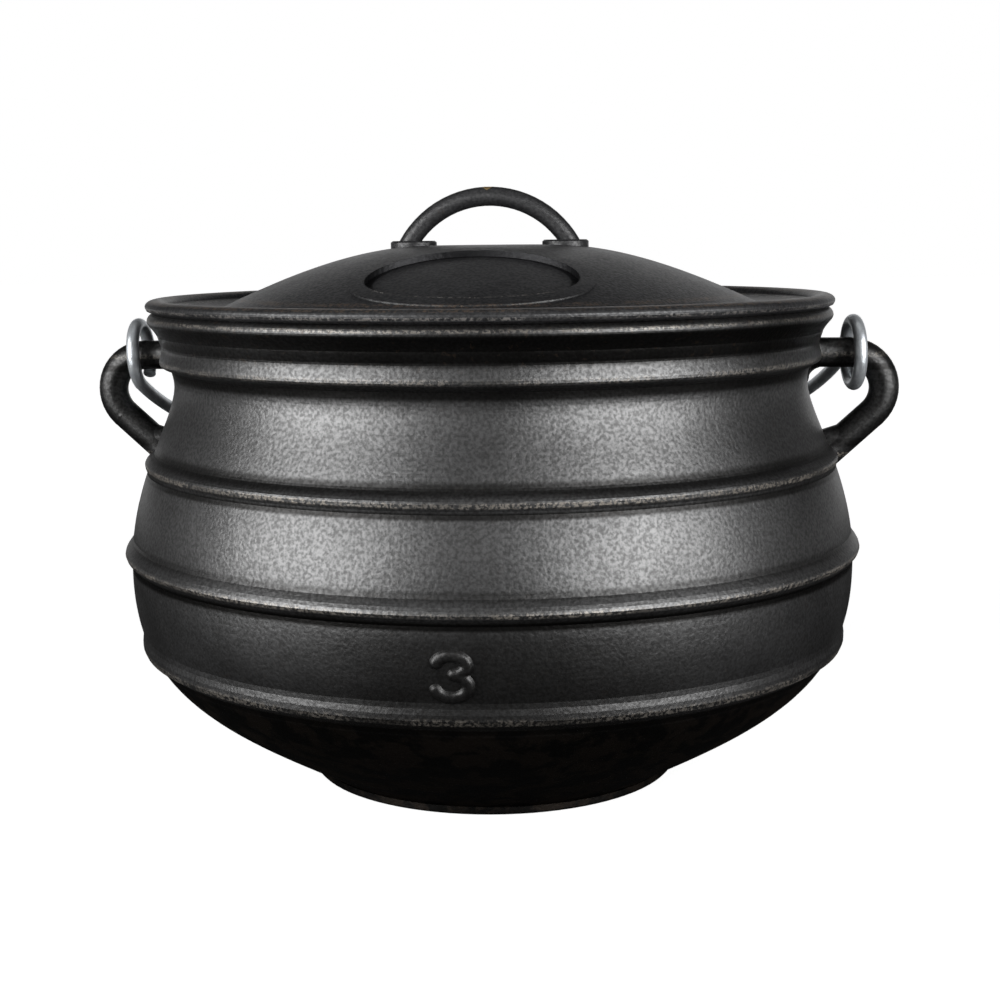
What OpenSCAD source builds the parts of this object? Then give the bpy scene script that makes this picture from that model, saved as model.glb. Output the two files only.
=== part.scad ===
// Cast-iron potjie pot with a flat foot, a dished lid and a swinging wire bail.
// Sizes are in millimetres. The origin is the centre of the foot on the floor and +Z is up.
// The front, with the oval in the lid, faces -Y. The ears stand out along X.
// Each sub-part is modelled in its place, with the bail laid back behind the pot.

/* [Foot and bowl] */
// Radius of the flat round foot
foot_r = 70.8; // [55:0.1:90]
// Height of the foot's edge
foot_h = 3; // [1.5:0.1:6]
// Width of the step between the foot's edge and the bowl
foot_step = 1; // [0.3:0.1:3]
// Steepness at which the bowl leaves the foot, in degrees
bowl_rise = 29.8; // [20:0.1:40]
// Fullness of the bowl beside the foot
bowl_low_pull = 53.9; // [40:0.1:60]
// Fullness of the bowl under its widest ring
bowl_high_pull = 41.9; // [30:0.1:50]
// Radius of the belly at its widest ring
belly_r = 137.9; // [110:0.1:160]
// Height of the belly's widest ring
belly_h = 82.3; // [70:0.1:95]

/* [Neck and lip] */
// Fullness of the shoulder above the widest ring
shoulder_pull = 33.5; // [25:0.1:40]
// Length over which the neck runs upright, below its narrowest ring
neck_low_pull = 13.6; // [5:0.1:20]
// Length over which the neck runs upright, above its narrowest ring
neck_high_pull = 5.3; // [3:0.1:8]
// How far the neck's narrowest ring lies inside the belly's widest one
neck_in = 18; // [10:0.1:26]
// Rise from the belly's widest ring to the neck's narrowest one
neck_rise = 68.8; // [55:0.1:85]
// How far the collar stands out from the neck, where the lip begins
collar_out = 5.5; // [3:0.1:9]
// Rise from the neck to the collar, where the lip begins
collar_rise = 18.1; // [14:0.1:24]
// How far the lip stands out from the collar
lip_out = 3.6; // [2:0.1:6]
// Rise from the collar to the lip's flat top, where the lid rests
lip_rise = 8.6; // [7:0.1:12]
// Rounding of the lip's outer edge
lip_round = 3; // [1:0.1:4]
// Width of the lip from its outer edge to the mouth
lip_w = 7.6; // [6:0.1:10]
// Thickness of the cast wall
wall = 5.2; // [4:0.1:7]

/* [Ridges] */
// Rise from the neck to the collar ridge, level with the ears
ridge_a_rise = 8.7; // [6:0.1:12]
// Width of the collar ridge above its crest
ridge_a_up = 5.8; // [4:0.1:7]
// How far the collar ridge stands out
ridge_a_out = 3.1; // [1:0.1:4]
// Drop from the neck to the thin ridge below it
ridge_b_drop = 29.4; // [22:0.1:36]
// Width of the thin ridge above its crest
ridge_b_up = 5; // [3:0.1:7]
// How far the thin ridge stands out
ridge_b_out = 2; // [1:0.1:4]
// Rise from the belly's widest ring to the belly ridge
ridge_c_rise = 6.3; // [2:0.1:12]
// Width of the belly ridge above its crest
ridge_c_up = 6.4; // [4:0.1:9]
// How far the belly ridge stands out
ridge_c_out = 2.6; // [1:0.1:4]
// Drop from the belly's widest ring to the bowl ridge
ridge_d_drop = 29; // [20:0.1:36]
// Width of the bowl ridge above its crest
ridge_d_up = 6.4; // [4:0.1:8]
// How far the bowl ridge stands out
ridge_d_out = 2.3; // [1:0.1:4]
// Width of each ridge's steep underside, as a share of its width above the crest
ridge_under = 0.65; // [0.4:0.01:1]

/* [Ears] */
// Radius of the round bar that forms each ear
ear_bar_r = 5.6; // [4:0.1:7]
// Rise from the collar ridge to the ear's upper stub, which is also the bail's pivot
ear_rise = 0.2; // [-3:0.1:3]
// Distance from the neck to the centre of the ear's bend
ear_out = 15.8; // [12:0.1:20]
// Radius of the ear's bend along the bar's centre
ear_bend_r = 13.3; // [10:0.1:18]
// Drop from the ear's stub to where its lower arm ends in the wall
ear_foot_drop = 39.2; // [32:0.1:46]
// How deep the lower arm's end lies in the wall
ear_sink = 3; // [1:0.1:5]
// Rounding where the ear's stub grows out of the wall
ear_root = 5.5; // [2:0.1:8]
// Distance from the web in the arm's upper corner to the arm's end, along the arm
web_from = 11; // [6:0.1:16]
// Drop from the ear's stub to where the web ends in the wall
web_drop = 35.6; // [30:0.1:42]

/* [Lid] */
// Rise from the foot of the dome to its flat crown
dome_rise = 21.85; // [16:0.05:30]
// Radius of the lid's flat crown
crown_r = 22; // [10:0.1:30]
// Length over which the dome leaves the crown level
dome_high_pull = 20; // [10:0.1:35]
// Length over which the dome falls straight to the brim
dome_low_pull = 40; // [20:0.1:50]
// Distance from the foot of the dome out to the lowest ring of the brim's dish
dome_in = 8.3; // [6:0.1:12]
// Rise from the lowest ring of the brim's dish to the foot of the dome
dome_lift = 1.8; // [1.4:0.1:3]
// Slope at the foot of the dome, in degrees
dome_fall = 25.2; // [15:0.1:35]
// Distance from the lowest ring of the brim's dish out to the brim's edge
dish_in = 20.5; // [16:0.1:25]
// Drop from the pot's lip to the lowest ring of the brim's dish
dish_sink = 0.2; // [0:0.1:1]
// Rise from the pot's lip to the top of the brim
rim_rise = 4.8; // [3.8:0.1:8]
// How far the brim's edge stands out over the lip's
rim_over = 0.5; // [-2:0.1:1.5]
// Width of the brim's rounded top edge
rim_w = 7.4; // [5:0.1:9]
// Height of the brim's rounded top edge
rim_round = 2.4; // [1.5:0.1:3]
// Thickness of the lid
lid_wall = 4.5; // [3.5:0.1:6]
// Gap between the lid's locating ring and the mouth
lid_gap = 1.5; // [0.8:0.1:3]
// Depth of the locating ring under the lid
lid_ring_h = 6.5; // [3:0.1:10]
// Width of the locating ring under the lid
lid_ring_w = 4; // [3:0.1:6]

/* [Oval in the lid] */
// Half the length of the sunk oval
oval_half_x = 37; // [25:0.1:45]
// Half the width of the sunk oval, seen from above
oval_half_y = 22.6; // [12:0.1:26]
// Distance from the oval's outer side to the foot of the dome
oval_in = 10.9; // [8:0.1:20]
// Depth of the sunk oval
oval_depth = 1.6; // [0.5:0.1:2.5]
// Width of the raised border around the oval
oval_border = 5.5; // [2:0.1:8]
// Height of the raised border around the oval
oval_proud = 0.5; // [0.2:0.1:1.5]

/* [Lid handle] */
// Radius of the handle's bar
handle_bar_r = 3.6; // [2.5:0.1:6]
// Radius of the handle's arch along the bar's centre
handle_arch_r = 35.9; // [25:0.1:45]
// Rise from the lid's crown to the handle's top
handle_rise = 21.85; // [17:0.05:30]
// Radius of the round pad under each end of the handle
pad_r = 8.8; // [6:0.1:12]
// Height of each pad above the crown
pad_proud = 1.8; // [0.5:0.1:4]
// How far each pad's centre lies inside the bar that stands on it
pad_in = 1.2; // [0:0.1:3]

/* [Bail] */
// Radius of the bail's wire
wire_r = 2.45; // [1.5:0.05:4]
// Gap between the bail's eyes and the ears' stubs inside them
eye_gap = 3.85; // [2:0.05:5]
// Distance from the centre of the ear's bend out to the bail's eye
eye_out = 0.9; // [0:0.1:2]
// How much further the bail's arch reaches from its pivot than the belly's radius
bail_over = 20.6; // [14:0.1:40]
// Angle taken up by each side of the arch, in degrees
side_turn = 50; // [30:1:65]
// Gap between the laid-back bail and the pot's ridges
bail_gap = 0.5; // [0.3:0.05:2]
// Radius of the reverse bend beside the right eye
neck_bend_r = 15; // [8:0.1:20]
// Height of the bail's right leg over the centre of its eye
right_leg_up = 4.6; // [0:0.1:8]
// Angle of the right eye's ring, from the reverse bend to its cut end
right_eye_turn = 305; // [270:1:310]
// Angle of the left eye's ring, from the leg to its cut end
left_eye_turn = 290; // [250:1:300]

/* [Hidden] */
// facets of a round outline, steps of a curve, and an overlap where solids join
$fn = 144;
bar_fn = 48;
wire_fn = 24;
steps = 26;
lap = 0.5;
iron = [0.13, 0.13, 0.14];
lid_iron = [0.2, 0.2, 0.21];
zinc = [0.66, 0.68, 0.7];

// point and direction of a cubic curve through its four control points
function curve(c, t) = let (s = 1 - t)
    s * s * s * c[0] + 3 * s * s * t * c[1] + 3 * s * t * t * c[2] + t * t * t * c[3];
function heading(c, t) = let (s = 1 - t)
    s * s * (c[1] - c[0]) + 2 * s * t * (c[2] - c[1]) + t * t * (c[3] - c[2]);
// unit vector to the right of a curve's direction
function side(c, t) = let (d = heading(c, t)) [d[1], -d[0]] / norm(d);
// points on an ellipse's arc
function arc(mid, rx, ry, a0, a1, n) =
    [for (i = [0:n]) let (a = a0 + (a1 - a0) * i / n) mid + [rx * cos(a), ry * sin(a)]];

// radii and heights that follow from the sizes above, from the belly up
neck_r = belly_r - neck_in;
collar_r = neck_r + collar_out;
lip_r = collar_r + lip_out;
mouth_r = lip_r - lip_w;
neck_h = belly_h + neck_rise;
collar_h = neck_h + collar_rise;
lip_h = collar_h + lip_rise;
ridge_a_h = neck_h + ridge_a_rise;
ridge_b_h = neck_h - ridge_b_drop;
ridge_c_h = belly_h + ridge_c_rise;
ridge_d_h = belly_h - ridge_d_drop;
ear_h = ridge_a_h + ear_rise;
ear_bend_x = neck_r + ear_out;
rim_r = lip_r + rim_over;
rim_h = lip_h + rim_rise;
dish_r = rim_r - dish_in;
dish_h = lip_h - dish_sink;
dome_r = dish_r - dome_in;
dome_low_h = dish_h + dome_lift;
crown_h = dome_low_h + dome_rise;

// the pot's wall, in three curves from the foot to the lip
foot_edge = [foot_r - foot_step, foot_h];
bowl_curve = [foot_edge, foot_edge + bowl_low_pull * [cos(bowl_rise), sin(bowl_rise)],
    [belly_r, belly_h - bowl_high_pull], [belly_r, belly_h]];
shoulder_curve = [[belly_r, belly_h], [belly_r, belly_h + shoulder_pull],
    [neck_r, neck_h - neck_low_pull], [neck_r, neck_h]];
collar_curve = [[neck_r, neck_h], [neck_r, neck_h + neck_high_pull],
    [collar_r - 0.6, collar_h - 3], [collar_r, collar_h]];
lip_curve = [[collar_r, collar_h], [collar_r + 1.65, collar_h + 3.3],
    [lip_r, lip_h - lip_round - 1.5], [lip_r, lip_h - lip_round]];

// a rounded swelling across a ridge, steeper under its crest, and the sum of all four at a height
function swell(h, crest, up, out) =
    let (part = (h - crest) / (h > crest ? up : -up * ridge_under))
    part < 1 ? out * (1 + cos(180 * part)) / 2 : 0;
function ridges(h) = swell(h, ridge_a_h, ridge_a_up, ridge_a_out)
    + swell(h, ridge_b_h, ridge_b_up, ridge_b_out)
    + swell(h, ridge_c_h, ridge_c_up, ridge_c_out)
    + swell(h, ridge_d_h, ridge_d_up, ridge_d_out);

function outer(c, n) = [for (i = [1:n]) let (p = curve(c, i / n)) p + ridges(p[1]) * side(c, i / n)];
function inner(c, n) = [for (i = [1:n]) curve(c, i / n) - wall * side(c, i / n)];

outer_wall = concat(outer(bowl_curve, 2 * steps), outer(shoulder_curve, 3 * steps),
    outer(collar_curve, steps), outer(lip_curve, 8));
inner_wall = concat(inner(bowl_curve, steps), inner(shoulder_curve, steps), inner(collar_curve, 8));
bowl_floor = foot_h + wall;

// radius of the wall between the belly and the neck, without its ridges
function shoulder_r(h) =
    lookup(h, [for (i = [0:60]) let (p = curve(shoulder_curve, i / 60)) [p[1], p[0]]]);
// the end of the ear's lower arm, seen from the centre of the ear's bend, and the arm that
// leaves the bend along its tangent and ends there
ear_foot = [shoulder_r(ear_h - ear_foot_drop) - ear_sink - ear_bend_x, ear_bend_r - ear_foot_drop];
arm_len = sqrt(pow(norm(ear_foot), 2) - pow(ear_bend_r, 2));
arm_turn = -atan2(ear_foot[1], ear_foot[0]) - atan(arm_len / ear_bend_r);
arm_dir = [-sin(arm_turn), -cos(arm_turn)];
// where the web leaves the arm, and how it turns up from there to its own end in the wall
web_start = ear_foot - web_from * arm_dir;
web_line = [shoulder_r(ear_h - web_drop) - wall - ear_bend_x, ear_bend_r - web_drop] - web_start;
// one bend of a round bar, a hair short at each end, where a ball carries it on
hair = 0.1;
module bend(bar, r, from, turn, fn) {
    trim = hair / r * 180 / PI;
    rotate([0, 0, from + trim]) rotate_extrude(angle = turn - 2 * trim, $fn = 180)
        translate([r, 0]) circle(r = bar, $fn = fn);
}
module ball(bar, r, angle, fn) {
    rotate([0, 0, angle]) translate([r, 0, 0]) sphere(r = bar + hair / 2, $fn = fn);
}
// a round bar in the XZ plane from a point along a line
module bar(r, from, line) {
    translate([from[0], 0, from[1]]) rotate([0, atan2(line[0], line[1]), 0])
        cylinder(r = r, h = norm(line), $fn = bar_fn);
}
// the stub's end, which widens into the wall
module root(r) {
    rotate_extrude($fn = bar_fn) polygon(concat([[0, -r], [ear_bar_r + r, -r]],
        arc([ear_bar_r + r, r], r, r, -90, -168, 8), [[0, r + r * sin(-168)]]));
}
// one ear in the XZ plane, its stub along +X
module ear() {
    translate([0, 0, ear_h]) {
        translate([neck_r - lap, 0, 0]) rotate([0, 90, 0])
            cylinder(r = ear_bar_r, h = ear_bend_x - neck_r + lap, $fn = bar_fn);
        translate([neck_r + lap, 0, 0]) rotate([0, 90, 0]) root(ear_root);
        translate([ear_bend_x, 0, -ear_bend_r]) {
            rotate([90, 0, 0]) bend(ear_bar_r, ear_bend_r, -arm_turn, 90 + arm_turn, bar_fn);
            rotate([90, 0, 0]) ball(ear_bar_r, ear_bend_r, -arm_turn, bar_fn);
            rotate([90, 0, 0]) ball(ear_bar_r, ear_bend_r, 90, bar_fn);
            bar(ear_bar_r, ear_foot - arm_len * arm_dir, arm_len * arm_dir);
            bar(ear_bar_r - 0.4, web_start, web_line);
        }
    }
}

// cast pot with four ridges, a round foot and two ears
module pot() {
    color(iron) difference() {
        union() {
            rotate_extrude() polygon(concat([[0, 0], [foot_r - 0.8, 0], [foot_r, 0.8],
                [foot_r, foot_h], foot_edge], outer_wall,
                arc([lip_r - lip_round, lip_h - lip_round], lip_round, lip_round, 10, 90, 8),
                [[0, lip_h]]));
            ear();
            mirror([1, 0, 0]) ear();
        }
        rotate_extrude() polygon(concat([[0, bowl_floor], [inner_wall[0][0] - 6, bowl_floor]],
            inner_wall, [[mouth_r, lip_h - 4.5], [mouth_r, lip_h - 1], [mouth_r + 1, lip_h],
            [mouth_r + 1, lip_h + 5], [0, lip_h + 5]]));
    }
}

// the lid's upper face, in three curves from the crown to the raised edge
dome_foot = [dome_r, dome_low_h];
dome_dir = [cos(dome_fall), -sin(dome_fall)];
rim_mid = [rim_r - rim_w / 2, rim_h - rim_round];
dome_curve = [[crown_r, crown_h], [crown_r + dome_high_pull, crown_h],
    dome_foot - dome_low_pull * dome_dir, dome_foot];
dish_curve = [dome_foot, dome_foot + 2.8 * dome_dir, [dish_r - 3.5, dish_h], [dish_r, dish_h]];
rim_curve = [[dish_r, dish_h], [dish_r + 6, dish_h], [rim_mid[0] - rim_w / 2 - 1.2, rim_mid[1] - 0.6],
    [rim_mid[0] - rim_w / 2, rim_mid[1]]];
function along(c, n, off = 0) = [for (i = [1:n]) curve(c, i / n) - off * side(c, i / n)];
dome_line = concat([[crown_r, crown_h]], along(dome_curve, steps));
lid_top = concat([[0, crown_h]], dome_line,
    along(dish_curve, 8), along(rim_curve, 10));
ring_r = mouth_r - lid_gap;
lid_under = concat([[0, crown_h - lid_wall], [crown_r, crown_h - lid_wall]],
    along(dome_curve, steps, -lid_wall), [[ring_r - lid_ring_w - 6, dish_h - lid_wall]]);
function back(l) = [for (i = [len(l) - 1:-1:0]) l[i]];

// an oval in plan on the front of the dome, grown by a border
module oval(grow) {
    translate([0, oval_in + oval_half_y - dome_r, dish_h]) linear_extrude(crown_h - dish_h + 5)
        polygon(arc([0, 0], oval_half_x + grow, oval_half_y + grow, 0, 355, 71));
}
// a shell that follows the dome's upper face, between two heights over it
module dome_shell(low, high) {
    rotate_extrude() polygon(concat([[0, crown_h + high]], [for (p = dome_line) p + [0, high]],
        [for (p = back(dome_line)) p + [0, low]], [[0, crown_h + low]]));
}
handle_mid_h = crown_h + handle_rise - handle_bar_r - handle_arch_r;
pad_h = crown_h + pad_proud;
pad_x = handle_arch_r * cos(asin((pad_h - handle_mid_h) / handle_arch_r)) - pad_in;
handle_end = asin((crown_h - 1.5 - handle_mid_h) / handle_arch_r);

// dished lid with a sunk oval and a cast arch handle on two pads
module lid() {
    color(lid_iron) {
        difference() {
            union() {
                rotate_extrude() polygon(concat(lid_top,
                    arc(rim_mid, rim_w / 2, rim_round, 165, -10, 14),
                    [[rim_r - 0.6, lip_h + 0.9], [rim_r - 2.6, lip_h], [ring_r, lip_h],
                    [ring_r, lip_h - lid_ring_h + 1], [ring_r - 1, lip_h - lid_ring_h],
                    [ring_r - lid_ring_w, lip_h - lid_ring_h],
                    [ring_r - lid_ring_w, dish_h - lid_wall]], back(lid_under)));
                intersection() {
                    oval(oval_border);
                    dome_shell(-2, oval_proud);
                }
            }
            intersection() {
                oval(0);
                dome_shell(-oval_depth, 3);
            }
        }
        translate([0, 0, handle_mid_h]) rotate([90, 0, 0]) rotate([0, 0, handle_end])
            rotate_extrude(angle = 180 - 2 * handle_end)
                translate([handle_arch_r, 0]) circle(r = handle_bar_r, $fn = bar_fn);
        for (s = [-1, 1]) translate([s * pad_x, 0, 0]) {
            translate([0, 0, crown_h - 3]) cylinder(r = pad_r, h = 3 + pad_proud - 0.6, $fn = bar_fn);
            translate([0, 0, pad_h - 0.6]) cylinder(r1 = pad_r, r2 = pad_r - 0.8, h = 0.6, $fn = bar_fn);
        }
    }
}

// the bail hangs in the ears, and its arch passes round the belly
eye_r = ear_bar_r + eye_gap + wire_r;
bail_half = ear_bend_x + eye_out;
bail_reach = belly_r + bail_over;
// the arch has two sides of a large radius and a smaller one over the top
arch_side_r = (bail_reach + bail_half * (tan(side_turn) - 1 / cos(side_turn)))
    / (1 + tan(side_turn) - 1 / cos(side_turn));
arch_shift = arch_side_r - bail_half;
arch_top_r = arch_side_r - arch_shift / cos(side_turn);
// the reverse bend meets the right eye at this angle and the leg at this distance
bend_at = asin((right_leg_up + neck_bend_r) / (eye_r + neck_bend_r));
leg_at = (eye_r + neck_bend_r) * cos(bend_at);
leg_turn = atan(leg_at / arch_side_r);
right_x = bail_half - arch_side_r * (1 - cos(leg_turn)) + leg_at * sin(leg_turn);
// the eyes sit on either side of the arch's plane, which cants the bail on its pivots
bail_cant = atan((eye_r + right_leg_up) / (right_x + bail_half));
bail_shift = [(bail_half - right_x) / 2, 0, (right_leg_up - eye_r) / 2];

// points along the arch, canted but level
function canted(p) = [p[0] * cos(bail_cant) - p[2] * sin(bail_cant), p[1],
    p[0] * sin(bail_cant) + p[2] * cos(bail_cant)];
arch = [for (p = concat(
    arc([-arch_shift, 0], arch_side_r, arch_side_r, leg_turn, side_turn, 10),
    arc([0, arch_shift * tan(side_turn)], arch_top_r, arch_top_r, side_turn, 180 - side_turn, 20),
    arc([arch_shift, 0], arch_side_r, arch_side_r, 180 - side_turn, 180, 10)))
    canted([p[0], p[1], 0] + bail_shift)];
// distance from the pot's axis and height of such a point, when the bail lies back by an angle
function laid(p, lay) = [norm([p[0], p[1] * cos(lay) + p[2] * sin(lay)]),
    ear_h - p[1] * sin(lay) + p[2] * cos(lay)];
// the wall that the bail comes to rest on, and the clear gap between the two at an angle
rest_wall = concat(outer(bowl_curve, 60), outer(shoulder_curve, 120));
rest_table = [for (p = rest_wall) [p[1], p[0]]];
function gap_at(lay) = min([for (a = arch) let (p = laid(a, lay))
    (p[0] < lookup(p[1], rest_table) ? -1 : 1) * min([for (w = rest_wall) norm(p - w)])]) - wire_r;
// the angle at which the bail has come down to its gap, found by halving
function settle(low, high, n) = let (mid = (low + high) / 2)
    n == 0 ? mid : gap_at(mid) > bail_gap ? settle(mid, high, n - 1) : settle(low, mid, n - 1);
bail_lay = settle(0, 70, 13);

// galvanised wire bail with an eye bent at each end
module bail() {
    color(zinc) translate([0, 0, ear_h]) rotate([-bail_lay, 0, 0]) rotate([0, -bail_cant, 0])
        translate(bail_shift) {
            translate([-arch_shift, 0, 0]) {
                bend(wire_r, arch_side_r, leg_turn, side_turn - leg_turn, wire_fn);
                ball(wire_r, arch_side_r, leg_turn, wire_fn);
                ball(wire_r, arch_side_r, side_turn, wire_fn);
            }
            translate([0, arch_shift * tan(side_turn), 0])
                bend(wire_r, arch_top_r, side_turn, 180 - 2 * side_turn, wire_fn);
            translate([arch_shift, 0, 0]) {
                bend(wire_r, arch_side_r, 180 - side_turn, side_turn, wire_fn);
                ball(wire_r, arch_side_r, 180 - side_turn, wire_fn);
                ball(wire_r, arch_side_r, 180, wire_fn);
            }
            translate([-bail_half, 0, eye_r]) rotate([90, 0, 90])
                bend(wire_r, eye_r, -90 - left_eye_turn, left_eye_turn, wire_fn);
            translate([right_x, 0, -right_leg_up]) rotate([0, 0, leg_turn]) rotate([90, 0, 90]) {
                bend(wire_r, eye_r, bend_at, right_eye_turn, wire_fn);
                ball(wire_r, eye_r, bend_at, wire_fn);
                translate([leg_at, right_leg_up + neck_bend_r, 0])
                    bend(wire_r, neck_bend_r, bend_at - 180, 90 - bend_at, wire_fn);
            }
        }
}

pot();
lid();
bail();
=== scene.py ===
"""Looks of a cast-iron potjie pot: sand-cast iron, worn ridges and a galvanised wire bail.
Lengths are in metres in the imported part's frame, or in millimetres where a comment says so."""

import math

import bmesh
import bpy
from mathutils import Matrix, Vector
from mathutils.bvhtree import BVHTree


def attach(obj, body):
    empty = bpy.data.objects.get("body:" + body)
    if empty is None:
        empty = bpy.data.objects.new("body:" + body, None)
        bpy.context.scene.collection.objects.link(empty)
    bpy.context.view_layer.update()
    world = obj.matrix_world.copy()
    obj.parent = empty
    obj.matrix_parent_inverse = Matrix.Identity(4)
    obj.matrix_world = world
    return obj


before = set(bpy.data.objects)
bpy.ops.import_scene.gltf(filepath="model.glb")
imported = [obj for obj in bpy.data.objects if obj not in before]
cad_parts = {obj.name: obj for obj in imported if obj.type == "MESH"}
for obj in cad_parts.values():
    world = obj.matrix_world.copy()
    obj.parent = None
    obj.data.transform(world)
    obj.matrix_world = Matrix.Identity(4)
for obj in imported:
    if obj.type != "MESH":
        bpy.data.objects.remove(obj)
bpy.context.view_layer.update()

MM = 0.001


# ---------------------------------------------------------------- camera

def make_camera():
    """Camera at the photograph's angle: 9 degrees down, 5.3 to the right, rolled by 0.6."""
    pitch, side_turn, roll = math.radians(9.0), math.radians(5.3), math.radians(0.6)
    away, eye_height = 0.64307, 0.20481
    ahead = Vector((-math.sin(side_turn) * math.cos(pitch), math.cos(side_turn) * math.cos(pitch),
                    -math.sin(pitch)))
    level = Vector((math.cos(side_turn), math.sin(side_turn), 0))
    upright = level.cross(ahead)
    right = level * math.cos(roll) - upright * math.sin(roll)
    up = level * math.sin(roll) + upright * math.cos(roll)
    data = bpy.data.cameras.new("camera")
    data.lens, data.sensor_width, data.shift_x = 60.13, 36, 0.008
    camera = bpy.data.objects.new("camera", data)
    place = Matrix((right, up, -ahead)).transposed().to_4x4()
    place.translation = (away * math.sin(side_turn), -away * math.cos(side_turn), eye_height)
    camera.matrix_world = place
    bpy.context.scene.collection.objects.link(camera)
    bpy.context.scene.camera = camera


make_camera()


# ---------------------------------------------------------------- node helpers

class Nodes:
    """A small hand for placing and joining shader nodes."""

    def __init__(self, tree):
        self.tree = tree

    def add(self, kind, out=0, settings=None, **sockets):
        node = self.tree.nodes.new(kind)
        for key, value in (settings or {}).items():
            setattr(node, key, value)
        for name, value in sockets.items():
            self.feed(node, name, value)
        return node.outputs[out]

    def feed(self, node, name, value):
        """Joins or sets an input, by its name with _ for a space, or as i0, i1 by its number."""
        key = int(name[1:]) if name[0] == "i" and name[1:].isdigit() else name.replace("_", " ")
        socket = node.inputs[key]
        if isinstance(value, bpy.types.NodeSocket):
            self.tree.links.new(value, socket)
        elif socket.type == "RGBA" and len(value) == 3:
            socket.default_value = (*value, 1)
        else:
            socket.default_value = value

    def math(self, operation, a, b=0.0, c=0.0, clamp=False):
        return self.add("ShaderNodeMath", settings={"operation": operation, "use_clamp": clamp},
                        i0=a, i1=b, i2=c)

    def steps(self, value, low, high, to_low=0.0, to_high=1.0):
        """Runs smoothly from to_low at low to to_high at high; low may be the greater one."""
        return self.add("ShaderNodeMapRange", settings={"interpolation_type": "SMOOTHSTEP"},
                        Value=value, From_Min=low, From_Max=high, To_Min=to_low, To_Max=to_high)

    def blend(self, factor, a, b):
        """Colour that runs from a to b as the factor goes from nothing to one."""
        return self.add("ShaderNodeMix", out=2, settings={"data_type": "RGBA"},
                        i0=factor, i6=a, i7=b)

    def times(self, a, b):
        return self.math("MULTIPLY", a, b)

    def most(self, a, b):
        return self.math("MAXIMUM", a, b)

    def rest(self, value):
        """What is left of one after the value."""
        return self.math("SUBTRACT", 1.0, value)

    def band(self, value, middle, half):
        """One at the middle, falling evenly to nothing at half away on either side."""
        off = self.math("ABSOLUTE", self.math("SUBTRACT", value, middle))
        return self.math("SUBTRACT", 1.0, self.math("DIVIDE", off, half), clamp=True)

    def noise(self, where, scale, detail, roughness, distortion=0.0):
        return self.add("ShaderNodeTexNoise", Vector=where, Scale=scale, Detail=detail,
                        Roughness=roughness, Distortion=distortion)


def new_group(name, inputs, outputs):
    """Starts a node group of plain numbers; its inputs are names with their usual values."""
    tree = bpy.data.node_groups.new(name, "ShaderNodeTree")
    for label, usual in inputs.items():
        socket = tree.interface.new_socket(label, in_out="INPUT", socket_type="NodeSocketFloat")
        socket.default_value = usual
    for label in outputs:
        tree.interface.new_socket(label, in_out="OUTPUT", socket_type="NodeSocketFloat")
    given = tree.nodes.new("NodeGroupInput")
    taken = tree.nodes.new("NodeGroupOutput")
    return Nodes(tree), given.outputs, taken.inputs


def use_group(nodes, tree, **values):
    """Places a node group with its values, and gives its outputs."""
    node = nodes.tree.nodes.new("ShaderNodeGroup")
    node.node_tree = tree
    for name, value in values.items():
        nodes.feed(node, name, value)
    return node.outputs


def sand_cast_grain():
    """Grain that a sand mould leaves: fine round grains, shallow pits and slow lumps.
    Speckle is low in the dull pores between the grains and high on them."""
    nodes, given, taken = new_group(
        "sand_cast_grain", {"Grain": 1.0, "Pits": 1.0, "Lumps": 1.0, "Size": 1.0},
        ["Height", "Speckle"])
    place = nodes.add("ShaderNodeTexCoord", out=3)
    where = nodes.add("ShaderNodeVectorMath", settings={"operation": "SCALE"},
                      Vector=place, Scale=given["Size"])
    fine = nodes.noise(where, 880, 1.5, 0.5)
    cell = nodes.add("ShaderNodeTexVoronoi", Vector=where, Scale=620.0)
    dimple = nodes.times(cell, cell)
    slow = nodes.noise(where, 38, 2, 0.5)
    height = nodes.times(nodes.math("MULTIPLY_ADD", dimple, -0.3, fine), given["Grain"])
    pit_depth = nodes.steps(nodes.noise(where, 150, 2, 0.5), 0.3, 0.42, -1.0, 0.0)
    height = nodes.math("MULTIPLY_ADD", pit_depth, nodes.times(given["Pits"], 0.9), height)
    height = nodes.math("MULTIPLY_ADD", slow, nodes.times(given["Lumps"], 9.0), height)
    nodes.tree.links.new(height, taken["Height"])
    nodes.tree.links.new(nodes.steps(fine, 0.28, 0.72), taken["Speckle"])
    return nodes.tree


def worn_specks():
    """Fine specks of bare iron, in slow patches, as a crest shows where it is rubbed."""
    nodes, given, taken = new_group("worn_specks", {"Scale": 900.0, "Cover": 0.5}, ["Mask"])
    place = nodes.add("ShaderNodeTexCoord", out=3)
    specks = nodes.noise(place, given["Scale"], 2, 0.65)
    patchy = nodes.noise(place, 55, 2, 0.6)
    edge = nodes.math("SUBTRACT", 1.03, given["Cover"])
    sharp = nodes.steps(specks, nodes.math("SUBTRACT", edge, 0.06), nodes.math("ADD", edge, 0.06))
    mask = nodes.times(sharp, nodes.steps(patchy, 0.36, 0.56, 0.25, 1))
    nodes.tree.links.new(mask, taken["Mask"])
    return nodes.tree


def ring_band():
    """Mask of a ring of the part at one height, which specks may break up."""
    nodes, given, taken = new_group(
        "ring_band", {"Middle": 0.1, "Half": 0.004, "Amount": 1.0, "Specks": 1.0}, ["Mask"])
    place = nodes.add("ShaderNodeTexCoord", out=3)
    z = nodes.add("ShaderNodeSeparateXYZ", out=2, Vector=place)
    band = nodes.steps(nodes.band(z, given["Middle"], given["Half"]), 0.0, 0.7)
    band = nodes.times(band, given["Specks"])
    nodes.tree.links.new(nodes.times(band, given["Amount"]), taken["Mask"])
    return nodes.tree


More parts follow.
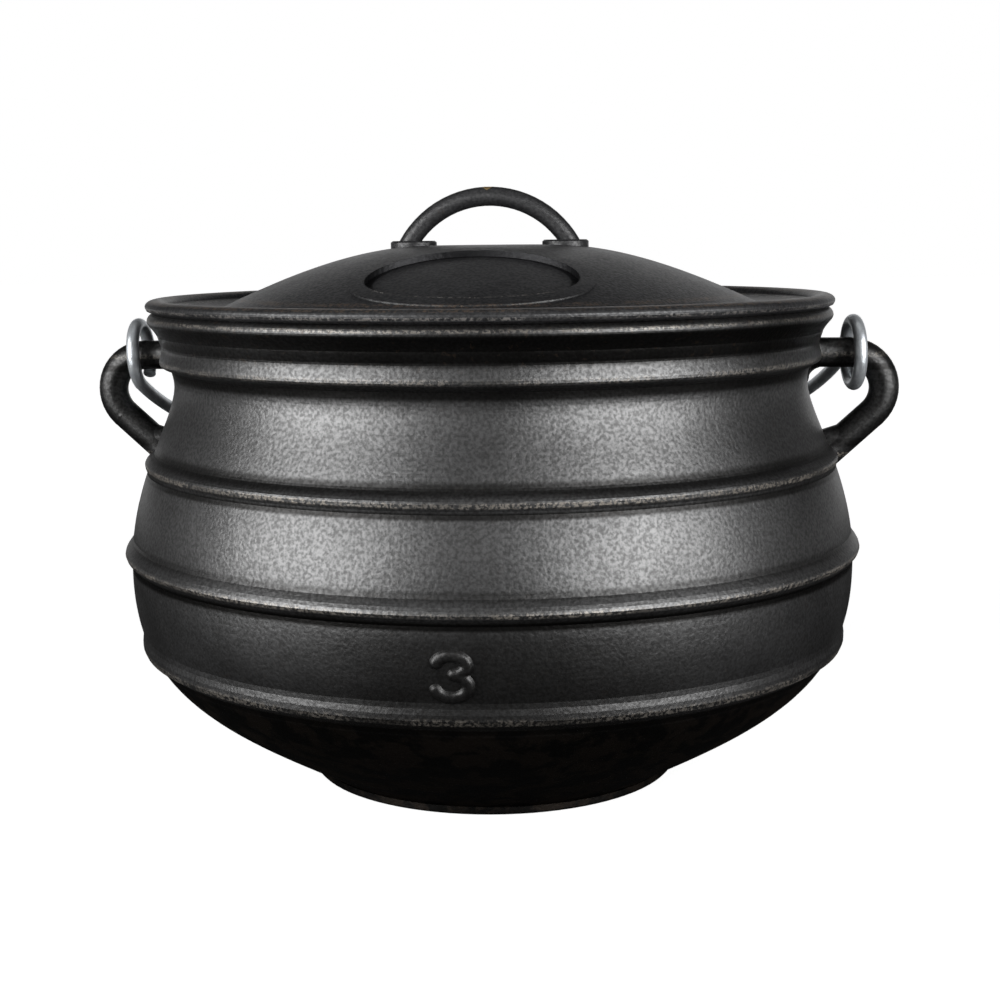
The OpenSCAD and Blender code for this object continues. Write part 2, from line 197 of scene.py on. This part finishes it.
def blotches():
    """Slow cloudy patches, with how much of the surface they cover."""
    nodes, given, taken = new_group(
        "blotches", {"Scale": 20.0, "Cover": 0.5, "Soft": 0.08}, ["Mask"])
    place = nodes.add("ShaderNodeTexCoord", out=3)
    cloud = nodes.noise(place, given["Scale"], 5, 0.6, 0.4)
    edge = nodes.rest(given["Cover"])
    mask = nodes.steps(cloud, nodes.math("SUBTRACT", edge, given["Soft"]),
                       nodes.math("ADD", edge, given["Soft"]))
    nodes.tree.links.new(mask, taken["Mask"])
    return nodes.tree


GRAIN, SPECKS, RING, BLOTCHES = sand_cast_grain(), worn_specks(), ring_band(), blotches()


def new_material(name):
    material = bpy.data.materials.new(name)
    material.use_nodes = True
    material.node_tree.nodes.clear()
    nodes = Nodes(material.node_tree)
    shader = nodes.tree.nodes.new("ShaderNodeBsdfPrincipled")
    output = nodes.tree.nodes.new("ShaderNodeOutputMaterial")
    nodes.tree.links.new(shader.outputs[0], output.inputs[0])
    return material, nodes, shader


def bump(nodes, height, distance):
    return nodes.add("ShaderNodeBump", Height=height, Distance=distance)


def place_parts(nodes):
    """The three coordinates of a point of the part."""
    place = nodes.add("ShaderNodeTexCoord", out=3)
    split = nodes.tree.nodes.new("ShaderNodeSeparateXYZ")
    nodes.tree.links.new(place, split.inputs[0])
    return split.outputs


def fade(nodes, value, places, to_low=0.0, to_high=1.0):
    """A mask that runs between two places, in millimetres."""
    begins, full = places
    return nodes.steps(value, begins * MM, full * MM, to_low, to_high)


def rings(nodes, bands, specks=1.0):
    """All rings of a list of heights, half widths and strengths, in millimetres, as one mask."""
    joined = None
    for middle, half, amount in bands:
        mask = use_group(nodes, RING, Middle=middle * MM, Half=half * MM, Amount=amount,
                         Specks=specks)["Mask"]
        joined = mask if joined is None else nodes.most(joined, mask)
    return joined


# ---------------------------------------------------------------- iron of the pot

# height, half width and strength of each worn crest of the pot, in millimetres
POT_CRESTS = ((159.6, 1.3, 0.35), (121.7, 1.2, 0.85), (88.6, 1.2, 0.6), (52.8, 1.9, 0.35),
              (175.7, 0.8, 0.45))
# height, half width and strength of the painted shade in the hollows beside the ridges, in
# millimetres
SHADED_HOLLOWS = ((155.0, 2.6, 0.8), (126.4, 3.0, 0.7), (118.2, 1.7, 0.8), (94.0, 2.4, 0.5),
               (84.6, 2.4, 0.9), (48.2, 2.4, 0.9))
# where each patch of painted shade begins and where it is full, in millimetres: by height,
# across the pot, or away from its axis
BOWL_SHADE, COLLAR_SHADE, LIP_SHADE, COLLAR_LEFT = (51, 46), (162, 166), (175, 173.5), (-120, -20)
EAR_SHADE, EAR_SHADE_HEIGHT = (128.5, 131.5), (124, 130)
BELLY_MIDDLE, BELLY_SHADE, BELLY_SHADE_HEIGHT = 8, (85, 20), (88, 78)
# heights at which the rust flecks and the bowl's rust begin and are full, in millimetres
FLECK_HEIGHT, BOWL_RUST_HEIGHT = (160, 168), (52, 44)
BLACK_IRON, GREY_IRON = (0.004, 0.004, 0.0043), (0.0065, 0.0065, 0.007)
# the first colour is the painted shade's; the rust colours are the iron's own
PAINTED_SHADE, BOWL_RUST, RUST_FLECK = (0.007, 0.0065, 0.006), (0.02, 0.014, 0.01), (0.036, 0.025, 0.017)
RUBBED_IRON = (0.4, 0.36, 0.31)


def pot_painted_shade(nodes, x, y, z):
    """Painted shade on the bowl, in the collar and the hollows, on the ears and up the middle of
    the belly.
    It is thinner on the collar's left side and on the lip."""
    bowl = fade(nodes, z, BOWL_SHADE, 0.0, 0.9)
    collar = nodes.times(fade(nodes, z, COLLAR_SHADE, 0.0, 0.85),
                         fade(nodes, z, LIP_SHADE, 0.5, 1.0))
    collar = nodes.times(collar, fade(nodes, x, COLLAR_LEFT, 0.3, 1.0))
    axis_away = nodes.math("SQRT", nodes.math("MULTIPLY_ADD", x, x, nodes.times(y, y)))
    ears = nodes.times(fade(nodes, axis_away, EAR_SHADE, 0.0, 0.55),
                       fade(nodes, z, EAR_SHADE_HEIGHT))
    off_middle = nodes.math("ABSOLUTE", nodes.math("SUBTRACT", x, BELLY_MIDDLE * MM))
    belly = nodes.times(fade(nodes, off_middle, BELLY_SHADE, 0.0, 0.55),
                        fade(nodes, z, BELLY_SHADE_HEIGHT))
    painted_shade_and_pores = rings(nodes, SHADED_HOLLOWS)
    for mask in (bowl, collar, ears, belly):
        painted_shade_and_pores = nodes.most(painted_shade_and_pores, mask)
    return painted_shade_and_pores


def pot_iron():
    """Black iron; painted shade and the pores are metallic with a dark colour, which takes their
    gloss away.
    """
    material, nodes, shader = new_material("pot_iron")
    grain = use_group(nodes, GRAIN, Grain=1.0, Pits=0.35, Lumps=0.12, Size=1.0)
    specks = use_group(nodes, SPECKS, Scale=900.0, Cover=0.52)["Mask"]
    worn = rings(nodes, POT_CRESTS, specks)
    x, y, z = place_parts(nodes)[:3]
    pores = nodes.times(nodes.rest(grain["Speckle"]), 0.52)
    # painted shade, joined with the grain's pores, makes the iron darker and less glossy
    painted_shade_and_pores = nodes.rest(nodes.times(nodes.rest(pores), nodes.rest(pot_painted_shade(nodes, x, y, z))))
    # rust on the bowl, and flecks of it mostly in the collar's hollow, out of the hand's reach
    high, low = fade(nodes, z, FLECK_HEIGHT), fade(nodes, z, BOWL_RUST_HEIGHT)
    bowl_rust = use_group(nodes, BLOTCHES, Scale=90.0, Cover=0.5, Soft=0.06)["Mask"]
    fleck = use_group(nodes, BLOTCHES, Scale=420.0, Cover=0.36, Soft=0.03)["Mask"]
    rust = nodes.times(bowl_rust, low)
    rust_flecks = nodes.times(fleck, nodes.math("MULTIPLY_ADD", high, 0.85, 0.15))
    dull = use_group(nodes, BLOTCHES, Scale=26.0, Cover=0.5, Soft=0.2)["Mask"]
    colour = nodes.blend(dull, BLACK_IRON, GREY_IRON)
    colour = nodes.blend(painted_shade_and_pores, colour, PAINTED_SHADE)
    for mask, tint in ((rust, BOWL_RUST), (rust_flecks, RUST_FLECK), (worn, RUBBED_IRON)):
        colour = nodes.blend(nodes.times(mask, 0.6), colour, tint)
    rough = nodes.math("MULTIPLY_ADD", dull, 0.06, 0.41)
    rough = nodes.math("MULTIPLY_ADD", grain["Speckle"], -0.04, rough)
    rough = nodes.math("MULTIPLY_ADD", rust, 0.1, rough)
    nodes.feed(shader, "Base Color", colour)
    nodes.feed(shader, "Roughness", rough)
    nodes.feed(shader, "Metallic", nodes.most(painted_shade_and_pores, nodes.times(worn, 0.88)))
    shader.inputs["IOR"].default_value = 1.93
    nodes.feed(shader, "Normal", bump(nodes, grain["Height"], distance=0.00008))
    return material


# ---------------------------------------------------------------- iron of the lid

# height, half width and strength of the rim's rubbed top edge and of the chips below it, in
# millimetres
LID_RIM, LID_CHIPS = (182.2, 0.8, 0.8), (179.5, 0.7, 0.55)
# half length, half width and middle of the oval sunk in the lid, in millimetres
OVAL_LONG, OVAL_WIDE, OVAL_Y = 37.0, 22.6, -67.2
# middle and half width of its painted highlight at the front edge and painted shadow on the wall,
# as parts of the oval's size, and where each begins and is full, from -1 at the oval's front to 1
# at its back
HIGHLIGHT_EDGE, HIGHLIGHT_FRONT = (1.0, 0.035), (-0.35, -0.75)
SHADOW_WALL, SHADOW_BACK = (0.965, 0.06), (-0.55, -0.2)
LID_BLACK, LID_GREY = (0.008, 0.008, 0.0088), (0.015, 0.015, 0.016)
LID_RUST, RIM_BROWN = (0.04, 0.025, 0.017), (0.12, 0.085, 0.06)
# the first colour is for the rim's worn chips and for the oval's painted highlight
LID_CHIPS_AND_HIGHLIGHT, SPRUE_BRASS = (0.3, 0.28, 0.26), (0.45, 0.31, 0.13)
# place across, height, and outer and inner reach of the filed sprue on the handle, in millimetres
SPRUE_X, SPRUE_TOP, SPRUE_REACH = -0.5, 223.1, (2.6, 1.2)


def lid_iron():
    """Greyer iron than the pot's, rubbed on the rim, with a painted highlight on the front edge of
    the oval and painted shadow on its wall.
    """
    material, nodes, shader = new_material("lid_iron")
    grain = use_group(nodes, GRAIN, Grain=1.0, Pits=0.5, Lumps=0.12, Size=1.0)
    specks = use_group(nodes, SPECKS, Scale=900.0, Cover=0.5)["Mask"]
    rim = rings(nodes, (LID_RIM,), specks)
    chips = rings(nodes, (LID_CHIPS,), specks)
    x, y, z = place_parts(nodes)[:3]
    # outline is 1 on the oval's outline; its front edge has a painted highlight of bright specks,
    # and its wall a painted shadow away from the front
    across = nodes.math("DIVIDE", x, OVAL_LONG * MM)
    deep = nodes.math("DIVIDE", nodes.math("SUBTRACT", y, OVAL_Y * MM), OVAL_WIDE * MM)
    outline = nodes.math("SQRT", nodes.math("ADD", nodes.times(across, across),
                                            nodes.times(deep, deep)))
    edge = nodes.times(nodes.band(outline, *HIGHLIGHT_EDGE), nodes.steps(deep, *HIGHLIGHT_FRONT))
    edge = nodes.times(edge, specks)
    wall = nodes.times(nodes.steps(nodes.band(outline, *SHADOW_WALL), 0.0, 0.5, 0.0, 0.9),
                       nodes.steps(deep, *SHADOW_BACK))
    # the rim's chips are wear; the oval's front edge is a painted highlight
    chips_and_highlight = nodes.most(chips, edge)
    # the sprue's stub, filed off on top of the handle
    sprue_off = nodes.math("ADD", nodes.math("ABSOLUTE", nodes.math("SUBTRACT", x, SPRUE_X * MM)),
                           nodes.times(nodes.math("SUBTRACT", SPRUE_TOP * MM, z), 1.6))
    sprue = fade(nodes, sprue_off, SPRUE_REACH)
    dull = use_group(nodes, BLOTCHES, Scale=26.0, Cover=0.5, Soft=0.2)["Mask"]
    rust = use_group(nodes, BLOTCHES, Scale=160.0, Cover=0.3, Soft=0.04)["Mask"]
    colour = nodes.blend(dull, LID_BLACK, LID_GREY)
    for mask, amount, tint in ((rust, 0.3, LID_RUST), (rim, 0.7, RIM_BROWN), (chips_and_highlight, 0.7, LID_CHIPS_AND_HIGHLIGHT),
                               (sprue, 0.9, SPRUE_BRASS)):
        colour = nodes.blend(nodes.times(mask, amount), colour, tint)
    rough = nodes.math("MULTIPLY_ADD", dull, 0.08, 0.46)
    metal = nodes.most(nodes.times(nodes.most(rim, chips_and_highlight), 0.6), sprue)
    pores = nodes.times(nodes.rest(grain["Speckle"]), 0.5)
    nodes.feed(shader, "Base Color", colour)
    nodes.feed(shader, "Roughness", nodes.math("MULTIPLY_ADD", grain["Speckle"], -0.06, rough))
    # the oval's painted shadow goes in as dark metal
    nodes.feed(shader, "Metallic", nodes.most(metal, nodes.most(pores, wall)))
    shader.inputs["IOR"].default_value = 1.63
    nodes.feed(shader, "Normal", bump(nodes, grain["Height"], distance=0.00009))
    return material


# ---------------------------------------------------------------- zinc of the bail

ZINC_DARK, ZINC_LIGHT, ZINC_DULL = (0.54, 0.57, 0.6), (0.66, 0.69, 0.71), (0.4, 0.42, 0.44)


def galvanised():
    """Zinc with faint spangle and duller patches."""
    material, nodes, shader = new_material("galvanised_wire")
    grain = use_group(nodes, GRAIN, Grain=0.25, Pits=0.2, Lumps=0.15, Size=2.0)
    spangle = use_group(nodes, BLOTCHES, Scale=240.0, Cover=0.5, Soft=0.12)["Mask"]
    dull = use_group(nodes, BLOTCHES, Scale=60.0, Cover=0.4, Soft=0.15)["Mask"]
    colour = nodes.blend(spangle, ZINC_DARK, ZINC_LIGHT)
    colour = nodes.blend(nodes.times(dull, 0.5), colour, ZINC_DULL)
    nodes.feed(shader, "Base Color", colour)
    nodes.feed(shader, "Roughness", nodes.math("MULTIPLY_ADD", dull, 0.12, 0.38))
    shader.inputs["Metallic"].default_value = 0.8
    nodes.feed(shader, "Normal", bump(nodes, grain["Height"], distance=0.0003))
    return material


POT_IRON, LID_IRON, WIRE = pot_iron(), lid_iron(), galvanised()


def dress(node, material):
    """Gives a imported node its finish."""
    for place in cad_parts[node].material_slots:
        place.material = material


dress("pot", POT_IRON)
dress("lid", LID_IRON)
dress("bail", WIRE)


def add_object(name, mesh):
    thing = bpy.data.objects.new(name, mesh)
    bpy.context.scene.collection.objects.link(thing)
    return thing


# ---------------------------------------------------------------- raised numeral on the belly

# Lengths here are in millimetres. NUMERAL_X is the numeral's middle across the pot.
NUMERAL_X = -0.7
# middle height, half width and half height of its two bows, with the angles of their ends
NUMERAL_BOWS = ((72.4, 4.9, 3.2, 165, -80), (65.4, 5.4, 3.9, 80, -160))
BOW_STEPS = 40
# half width of the stroke, the rise of its round top, the height of its foot, the fall of the
# skirt beyond it and the skirt's lowest point
STROKE, STROKE_RISE, STROKE_FOOT, SKIRT_FALL, SKIRT_LOW = 2.0, 1.15, 0.1, 1.6, -0.7
# pitch of the relief's grid, its lower left corner and its sizes
GRID_PITCH, GRID_LEFT, GRID_BOTTOM, GRID_WIDE, GRID_HIGH = 0.34, NUMERAL_X - 9.5, 56.5, 19, 24
# how wide the skirt is, how deep the relief goes into the wall, and where rays to it start
SKIRT, ROOT, RAY_START = 1.2, 1.6, -300
# the belly leans in below its widest ring, so the relief stands out and a little down
NUMERAL_LEAN = math.radians(-8)


def stroke_points():
    """Points along the middle of the stroke, across and up."""
    points = []
    for middle, half_x, half_z, first, last in NUMERAL_BOWS:
        for step in range(BOW_STEPS + 1):
            a = math.radians(first + (last - first) * step / BOW_STEPS)
            points.append((NUMERAL_X + half_x * math.cos(a), middle + half_z * math.sin(a)))
    return points


def numeral_height(distance):
    """Height over the wall: a cast stroke's rounded top, then a skirt that dips into the wall."""
    part = distance / STROKE
    if part < 1:
        return STROKE_RISE * (1 - part ** 2.4) ** 0.6 + STROKE_FOOT
    return max(STROKE_FOOT - SKIRT_FALL * (part - 1), SKIRT_LOW)


def raised_numeral():
    """A closed relief of the numeral 3, seated in the front of the pot."""
    line = stroke_points()
    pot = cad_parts["pot"]
    tree = BVHTree.FromPolygons([v.co.copy() for v in pot.data.vertices],
                                [tuple(f.vertices) for f in pot.data.polygons])
    outward = Vector((0, -math.cos(NUMERAL_LEAN), math.sin(NUMERAL_LEAN)))
    columns, rows = int(GRID_WIDE / GRID_PITCH), int(GRID_HIGH / GRID_PITCH)
    mesh = bmesh.new()
    tops, bottoms = {}, {}
    for i in range(columns + 1):
        for j in range(rows + 1):
            x, z = GRID_LEFT + GRID_PITCH * i, GRID_BOTTOM + GRID_PITCH * j
            distance = min(math.hypot(x - a, z - b) for a, b in line)
            if distance > STROKE + SKIRT:
                continue
            hit = tree.ray_cast(Vector((x, RAY_START, z)) * MM, Vector((0, 1, 0)))[0]
            tops[i, j] = mesh.verts.new(hit + outward * numeral_height(distance) * MM)
            bottoms[i, j] = mesh.verts.new(hit - outward * ROOT * MM)
    for i in range(columns):
        for j in range(rows):
            corners = [(i, j), (i + 1, j), (i + 1, j + 1), (i, j + 1)]
            if all(corner in tops for corner in corners):
                mesh.faces.new([tops[corner] for corner in corners])
                mesh.faces.new([bottoms[corner] for corner in reversed(corners)])
    rim = [edge for edge in mesh.edges if edge.is_boundary]
    partner = {top: bottoms[key] for key, top in tops.items()}
    for edge in rim:
        if edge.verts[0] in partner:
            first = [loop.vert for loop in edge.link_faces[0].loops if loop.edge == edge][0]
            second = edge.other_vert(first)
            mesh.faces.new([second, first, partner[first], partner[second]])
    loose = [vert for vert in mesh.verts if not vert.link_faces]
    bmesh.ops.delete(mesh, geom=loose, context="VERTS")
    data = bpy.data.meshes.new("raised_numeral")
    mesh.to_mesh(data)
    mesh.free()
    for face in data.polygons:
        face.use_smooth = True
    data.materials.append(POT_IRON)
    piece = add_object("raised_numeral", data)
    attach(piece, "pot")


raised_numeral()


# ---------------------------------------------------------------- floor, world and lamps

# half width of the floor, and how far it lies under the pot's foot
FLOOR_HALF, FLOOR_DROP = 7.0, 0.0004


def make_floor():
    """A pale floor that shows as white with the pot's shadow; mirrored rays see it dark near
    the pot and white far behind it."""
    half = FLOOR_HALF
    mesh = bpy.data.meshes.new("floor")
    mesh.from_pydata([(-half, -half, 0), (half, -half, 0), (half, half, 0), (-half, half, 0)], [],
                     [(0, 1, 2, 3)])
    floor = add_object("floor", mesh)
    floor.location.z = -FLOOR_DROP
    material, nodes, shader = new_material("pale_floor")
    shader.inputs["Roughness"].default_value = 0.8
    shader.inputs["Specular IOR Level"].default_value = 0.0
    paths = nodes.tree.nodes.new("ShaderNodeLightPath").outputs
    place = nodes.add("ShaderNodeTexCoord", out=3)
    behind = nodes.steps(nodes.add("ShaderNodeSeparateXYZ", out=1, Vector=place), 0.6, 1.8)
    away = nodes.add("ShaderNodeVectorMath", out=1, settings={"operation": "LENGTH"}, Vector=place)
    glow = nodes.steps(away, 0.3, 1.1, 0.84, 1.0)
    mirrored = nodes.most(paths["Is Glossy Ray"], paths["Is Transmission Ray"])
    seen = nodes.most(paths["Is Camera Ray"], nodes.times(mirrored, behind))
    nodes.feed(shader, "Base Color", nodes.blend(mirrored, (0.4, 0.4, 0.4), (0.012, 0.012, 0.012)))
    nodes.feed(shader, "Emission Color", (1.0, 1.0, 1.0))
    nodes.feed(shader, "Emission Strength", nodes.times(seen, glow))
    mesh.materials.append(material)


def make_world():
    """A dim room with a white backdrop for the camera and for mirrored rays from behind."""
    world = bpy.data.worlds.new("studio")
    world.use_nodes = True
    nodes = Nodes(world.node_tree)
    world.node_tree.nodes.clear()
    paths = world.node_tree.nodes.new("ShaderNodeLightPath").outputs
    background = world.node_tree.nodes.new("ShaderNodeBackground")
    output = world.node_tree.nodes.new("ShaderNodeOutputWorld")
    nodes.tree.links.new(background.outputs[0], output.inputs[0])
    place = nodes.add("ShaderNodeTexCoord", out=0)
    parts = nodes.tree.nodes.new("ShaderNodeSeparateXYZ")
    nodes.tree.links.new(place, parts.inputs[0])
    level = nodes.math("ABSOLUTE", parts.outputs[2])
    room = nodes.steps(level, 0.1, 0.75, 0.045, 0.02)
    behind = nodes.steps(parts.outputs[1], 0.75, 0.98)
    mirrored = nodes.most(paths["Is Glossy Ray"], paths["Is Transmission Ray"])
    backdrop = nodes.most(room, nodes.times(behind, mirrored))
    bright = nodes.most(paths["Is Camera Ray"], backdrop)
    nodes.feed(background, "Color", (1.0, 1.0, 1.0))
    nodes.feed(background, "Strength", bright)
    bpy.context.scene.world = world


# height of the point that the lamps look at
LAMP_AIM = 0.1
# name, azimuth and rise in degrees, distance, width, height and power of each lamp
LAMPS = (("left_box", -50, 14.5, 1.0, 0.84, 0.66, 14.3),
         ("right_box", 49, 14.5, 1.0, 0.8, 0.66, 13.8),
         ("front_fill", -1, 23, 1.0, 0.6, 0.4, 0.3),
         ("top_box", 10, 80, 1.3, 0.9, 0.9, 1.2))


def soft_box(name, azimuth, rise, away, width, height, power):
    """A rectangular lamp that looks at the pot's middle."""
    data = bpy.data.lights.new(name, "AREA")
    data.shape, data.size, data.size_y, data.energy = "RECTANGLE", width, height, power
    lamp = bpy.data.objects.new(name, data)
    a, e = math.radians(azimuth), math.radians(rise)
    toward = Vector((math.sin(a) * math.cos(e), -math.cos(a) * math.cos(e), math.sin(e)))
    lamp.location = Vector((0, 0, LAMP_AIM)) + away * toward
    lamp.rotation_mode = "QUATERNION"
    lamp.rotation_quaternion = toward.to_track_quat("Z", "Y")
    bpy.context.scene.collection.objects.link(lamp)


make_floor()
make_world()
for lamp in LAMPS:
    soft_box(*lamp)

bpy.context.scene.view_settings.view_transform = "Standard"
